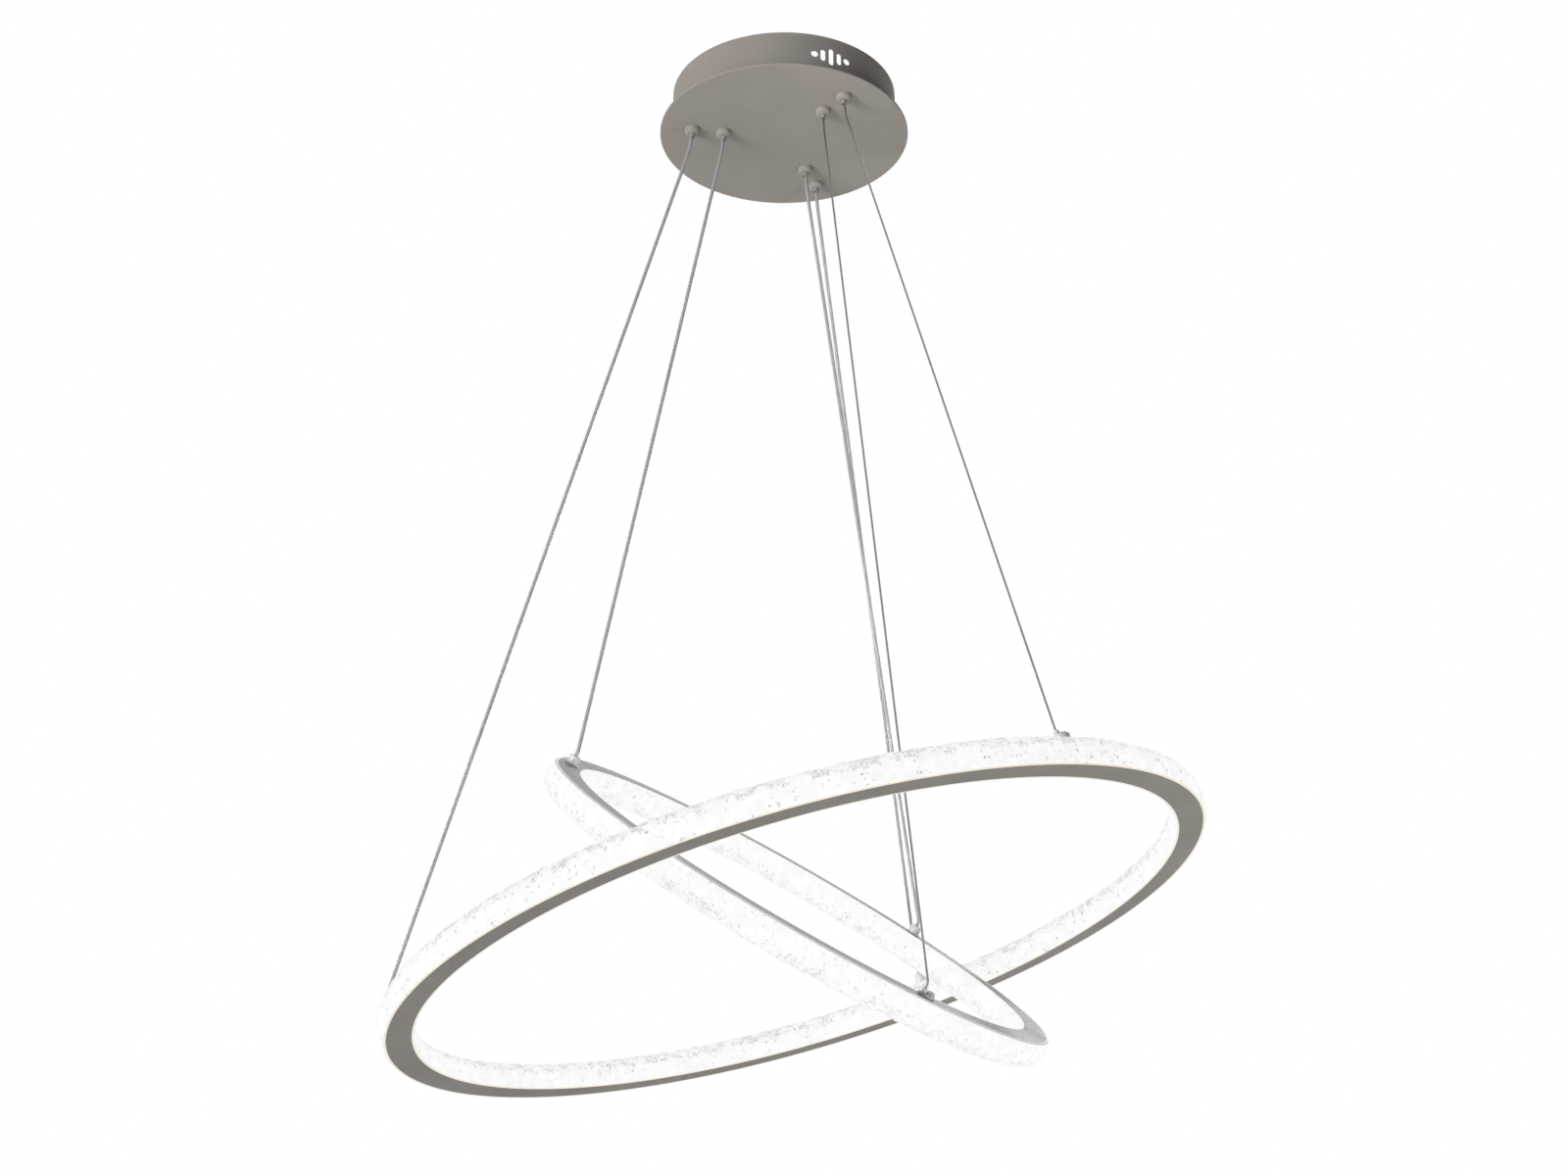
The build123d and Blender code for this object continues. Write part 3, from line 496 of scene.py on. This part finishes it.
# hanging runs: top in the gripper, bend below it, bend above the ring, foot in the hanger
# a taut run is straight, so one more point stands on it near each bend, as far off as the top or the foot is
cordRuns = {
    "cord_big_far": {"length": 0.6751, "route": [
        (0.02673, 0.06965, -0.024), (0.02673, 0.06965, -0.0497), (0.02997, 0.07742, -0.07398),
        (0.10625, 0.26049, -0.64618), (0.10729, 0.263, -0.65401), (0.10952, 0.26276, -0.66199)]},
    "cord_big_left": {"length": 0.7633, "route": [
        (-0.07368, -0.01167, -0.024), (-0.07368, -0.01167, -0.0497), (-0.08058, -0.01276, -0.07443),
        (-0.26695, -0.04222, -0.74225), (-0.26918, -0.04257, -0.75023), (-0.26695, -0.04281, -0.75821)]},
    "rope_big_right": {"length": 0.6466, "route": [
        (0.04695, -0.05798, -0.024), (0.04695, -0.05798, -0.0497), (0.05211, -0.06512, -0.07384),
        (0.16846, -0.22591, -0.61785), (0.16993, -0.22794, -0.6247), (0.1719, -0.22815, -0.63172)]},
    "cord_small_far": {"length": 0.6453, "route": [
        (0.01767, 0.04603, -0.024), (0.01767, 0.04603, -0.0497), (0.0213, 0.05101, -0.07465),
        (0.10346, 0.16373, -0.6391), (0.10421, 0.16476, -0.64425), (0.1016, 0.16658, -0.64849)]},
    "cord_small_left": {"length": 0.5675, "route": [
        (-0.04869, -0.00771, -0.024), (-0.04869, -0.00771, -0.0497), (-0.05338, -0.00895, -0.07494),
        (-0.14538, -0.03328, -0.56953), (-0.14635, -0.03354, -0.57474), (-0.14896, -0.03172, -0.57898)]},
    "rope_small_right": {"length": 0.762, "route": [
        (0.03103, -0.03831, -0.024), (0.03103, -0.03831, -0.0497), (0.0332, -0.04185, -0.07506),
        (0.09207, -0.13801, -0.76411), (0.09252, -0.13874, -0.76934), (0.08991, -0.13692, -0.77358)]},
}
cordSizes = {"exitZ": -0.0452, "held": 0.17, "fineness": 60, "step": 0.0016,
             "cordD": 0.0028, "cordRound": 4,
             "coreD": 0.00082, "coreRound": 2, "coreOff": 0.00048, "coreTurns": 0.0,
             "ropeD": 0.0017, "strands": 6,
             "strandD": 0.00056, "strandRound": 1, "strandOff": 0.00056, "strandTurns": 85.0}


def layPoints(spline, points):
    spline.points.add(len(points) - 1)
    for spot, p in zip(spline.points, points):
        spot.co = (*p, 1)


def newCurve(name):
    curve = bpy.data.curves.new(name, "CURVE")
    curve.dimensions = "3D"
    return curve


def meshOf(curve):
    guide = bpy.data.objects.new(curve.name + "_guide", curve)
    scene.collection.objects.link(guide)
    bpy.context.view_layer.update()
    mesh = bpy.data.meshes.new_from_object(guide.evaluated_get(bpy.context.evaluated_depsgraph_get()))
    bpy.data.objects.remove(guide)
    return mesh


def runLine(name, route):
    curve = newCurve(name + "_line")
    spline = curve.splines.new("NURBS")
    layPoints(spline, route)
    spline.order_u = 3
    spline.use_endpoint_u = True
    curve.resolution_u = cordSizes["fineness"]
    mesh = meshOf(curve)
    line = [v.co.copy() for v in mesh.vertices]
    bpy.data.meshes.remove(mesh)
    return line


def evenLine(line, step):
    lengths = [0.0]
    for a, b in zip(line, line[1:]):
        lengths.append(lengths[-1] + (b - a).length)
    count = round(lengths[-1] / step)
    even, k = [], 0
    for i in range(count + 1):
        at = lengths[-1] * i / count
        while k < len(line) - 2 and lengths[k + 1] < at:
            k += 1
        part = (at - lengths[k]) / max(1e-9, lengths[k + 1] - lengths[k])
        even.append(line[k].lerp(line[k + 1], min(1, part)))
    return even


def strandOf(line, step, off, turns, phase):
    run = (line[-1] - line[0]).normalized()
    beside = run.cross(Vector((0, 1, 0))).normalized()
    across = run.cross(beside)
    strand = []
    for i, p in enumerate(line):
        turn = 2 * pi * i * step * turns + phase
        strand.append(p + (beside * cos(turn) + across * sin(turn)) * off)
    return strand


def tubeAlong(name, lines, diameter, roundness, finish):
    curve = newCurve(name)
    curve.bevel_depth = diameter / 2
    curve.bevel_resolution = roundness
    curve.use_fill_caps = True
    for line in lines:
        layPoints(curve.splines.new("POLY"), line)
    mesh = meshOf(curve)
    mesh.name = name
    mesh.materials.clear()
    mesh.materials.append(finish)
    mesh.shade_smooth()
    piece = bpy.data.objects.new(name, mesh)
    scene.collection.objects.link(piece)
    return piece


def makeRope(name, even, sizes):
    strands = [even]
    for k in range(sizes["strands"]):
        phase = 2 * pi * k / sizes["strands"]
        strands.append(strandOf(even, sizes["step"], sizes["strandOff"], sizes["strandTurns"], phase))
    return tubeAlong(name + "_run", strands, sizes["strandD"], sizes["strandRound"], ropeSteel)


def makeCores(name, even, sizes):
    cores = [strandOf(even, sizes["step"], sizes["coreOff"], sizes["coreTurns"], phase) for phase in (0, pi)]
    return tubeAlong(name + "_cores", cores, sizes["coreD"], sizes["coreRound"], coreMetal)


for name, hung in cordRuns.items():
    isRope = name.startswith("rope")
    route = hung["route"]
    line = runLine(name, route)
    even = evenLine(line, cordSizes["step"])
    if isRope:
        piece = makeRope(name, even, cordSizes)
        others = []
    else:
        piece = tubeAlong(name + "_run", [line], cordSizes["cordD"], cordSizes["cordRound"], jacketClear)
        others = [makeCores(name, even, cordSizes)]
    for run in [piece] + others:
        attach(run, "canopy")
        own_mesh(run)
    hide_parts(name)
print(len(cordRuns), "hanging runs made")

# finishes on the pieces that keep their own shape
finishes = [
    (canopyPaint, ["canopy_wall", "canopy_plate"]),
    (gripperPaint, [name for name in nodes if name.startswith(("gripper_big", "gripper_small", "plunger_"))]),
    (ringPaint, ["big_plate", "small_plate"]),
    (galvanised, ["ceiling_bracket"]),
    (zincSteel, ["pin_screws", "earth_washer", "canopy_nuts", "gripper_nuts", "big_posts",
                 "small_stem_nuts"]),
    (brass, ["earth_screw", "terminal_screws"]),
    (driverCase, ["driver_big", "driver_small"]),
    (foamTape, ["driver_pads"]),
    (terminalNylon, ["terminal_block"]),
    (ledBoard, ["big_led_strip", "small_led_strip"]),
    (glandPlastic, ["big_gland_far", "big_gland_left", "small_gland_far", "small_gland_left"]),
    (satinNickel, ["big_anchor", "small_anchor", "big_anchor_screw", "small_anchor_screw"]),
]

# round faces read as round: join the loose triangles and smooth all but the sharp edges
roundLook = {"join": 0.000001, "crispAngle": 28}
roundTree = bpy.data.node_groups.new("roundFaces", "GeometryNodeTree")
for way in ("INPUT", "OUTPUT"):
    roundTree.interface.new_socket(name="Geometry", in_out=way, socket_type="NodeSocketGeometry")
shapeIn = roundTree.nodes.new("NodeGroupInput")
shapeOut = roundTree.nodes.new("NodeGroupOutput")
join = roundTree.nodes.new("GeometryNodeMergeByDistance")
join.inputs["Distance"].default_value = roundLook["join"]
soft = roundTree.nodes.new("GeometryNodeSetShadeSmooth")
crisp = roundTree.nodes.new("GeometryNodeSetShadeSmooth")
crisp.domain = "EDGE"
crisp.inputs["Shade Smooth"].default_value = False
angle = roundTree.nodes.new("GeometryNodeInputMeshEdgeAngle")
sharp = roundTree.nodes.new("FunctionNodeCompare")
sharp.operation = "GREATER_THAN"
sharp.inputs["B"].default_value = radians(roundLook["crispAngle"])
for a, b in ((shapeIn.outputs[0], join.inputs["Geometry"]),
             (join.outputs["Geometry"], soft.inputs["Geometry"]),
             (soft.outputs["Geometry"], crisp.inputs["Geometry"]),
             (angle.outputs["Unsigned Angle"], sharp.inputs["A"]),
             (sharp.outputs["Result"], crisp.inputs["Selection"]),
             (crisp.outputs["Geometry"], shapeOut.inputs[0])):
    roundTree.links.new(a, b)

for finish, names in finishes:
    for name in names:
        piece = nodes[name]
        piece.data.materials.clear()
        piece.data.materials.append(finish)
        modifier = piece.modifiers.new("roundFaces", "NODES")
        modifier.node_group = roundTree
print(sum(len(names) for finish, names in finishes), "pieces finished")


# studio: pale floor far below, and white behind wherever the camera, a reflection or clear plastic looks out

def seenRays(tree):
    paths = tree.nodes.new("ShaderNodeLightPath").outputs
    seen = addMath(tree, "ADD", paths["Is Camera Ray"], paths["Is Glossy Ray"])
    return addMath(tree, "ADD", seen, paths["Is Transmission Ray"], clamp=True)


def plainGlow(tree, kind, colour, strength):
    node = tree.nodes.new(kind)
    node.inputs["Color"].default_value = colour
    node.inputs["Strength"].default_value = strength
    return node


def blendInto(tree, share, usual, shown, surface):
    node = tree.nodes.new("ShaderNodeMixShader")
    for value, socket in zip((share, usual.outputs[0], shown.outputs[0]), node.inputs):
        tree.links.new(value, socket)
    tree.links.new(node.outputs[0], surface)


white = (1, 1, 1, 1)
floorLook = {"z": -2.5, "size": 14.0, "parts": 8, "body": (0.8, 0.79, 0.77, 1),
             "cloud": (0.77, 0.76, 0.74, 1), "cloudScale": 1.5, "rough": 0.8, "specular": 0.2,
             "whiteShare": 0.55}
bm = bmesh.new()
bmesh.ops.create_grid(bm, x_segments=floorLook["parts"], y_segments=floorLook["parts"],
                      size=floorLook["size"] / 2)
bmesh.ops.translate(bm, verts=list(bm.verts), vec=(0, 0, floorLook["z"]))
floorMesh = bpy.data.meshes.new("floor")
bm.to_mesh(floorMesh)
bm.free()
floor = bpy.data.objects.new("floor", floorMesh)
scene.collection.objects.link(floor)
floorPaint, tree, shader = newMaterial("floorPaint", rough=floorLook["rough"], specular=floorLook["specular"])
cloudy = place(tree, paint, {"Body": floorLook["body"], "Cloud": floorLook["cloud"],
                             "Cloud Scale": floorLook["cloudScale"]})
tree.links.new(cloudy.outputs["Color"], shader.inputs["Base Color"])
whiteShare = addMath(tree, "MULTIPLY", seenRays(tree), floorLook["whiteShare"])
blendInto(tree, whiteShare, shader, plainGlow(tree, "ShaderNodeEmission", white, 1.0),
          tree.nodes["Material Output"].inputs["Surface"])
floorMesh.materials.append(floorPaint)

fillLight = {"colour": (0.92, 0.95, 1.0, 1), "strength": 0.13}
world = bpy.data.worlds.new("studio")
scene.world = world
world.use_nodes = True
tree = world.node_tree
tree.nodes.clear()
fill = plainGlow(tree, "ShaderNodeBackground", fillLight["colour"], fillLight["strength"])
blendInto(tree, seenRays(tree), fill, plainGlow(tree, "ShaderNodeBackground", white, 1.0),
          tree.nodes.new("ShaderNodeOutputWorld").inputs["Surface"])

# lamps: soft key low on the left, a small one under the right end, a top light and two behind
aim = Vector((0, 0, -0.4))
lamps = {"key": {"place": (-2.5, -2.5, -1.1), "size": 1.6, "power": 148.0, "colour": (1.0, 0.985, 0.96)},
         "under": {"place": (0.9, -0.2, -1.5), "size": 0.5, "power": 7.0, "colour": (1.0, 0.985, 0.96)},
         "top": {"place": (1.2, 2.2, 4.5), "size": 6.0, "power": 220.0, "colour": (0.96, 0.98, 1.0)},
         "back": {"place": (1.2, 3.2, 0.6), "size": 1.0, "power": 18.0, "colour": (1.0, 1.0, 1.0)},
         "rear": {"place": (-1.5, 3.0, 0.0), "size": 1.5, "power": 40.0, "colour": (1.0, 1.0, 1.0)}}
for label, lamp in lamps.items():
    light = bpy.data.lights.new(label, "AREA")
    light.shape = "DISK"
    light.size = lamp["size"]
    light.energy = lamp["power"]
    light.color = lamp["colour"]
    holder = bpy.data.objects.new(label, light)
    holder.location = lamp["place"]
    holder.visible_camera = False
    holder.rotation_euler = (aim - Vector(lamp["place"])).to_track_quat("-Z", "Y").to_euler()
    scene.collection.objects.link(holder)
print("studio lit")
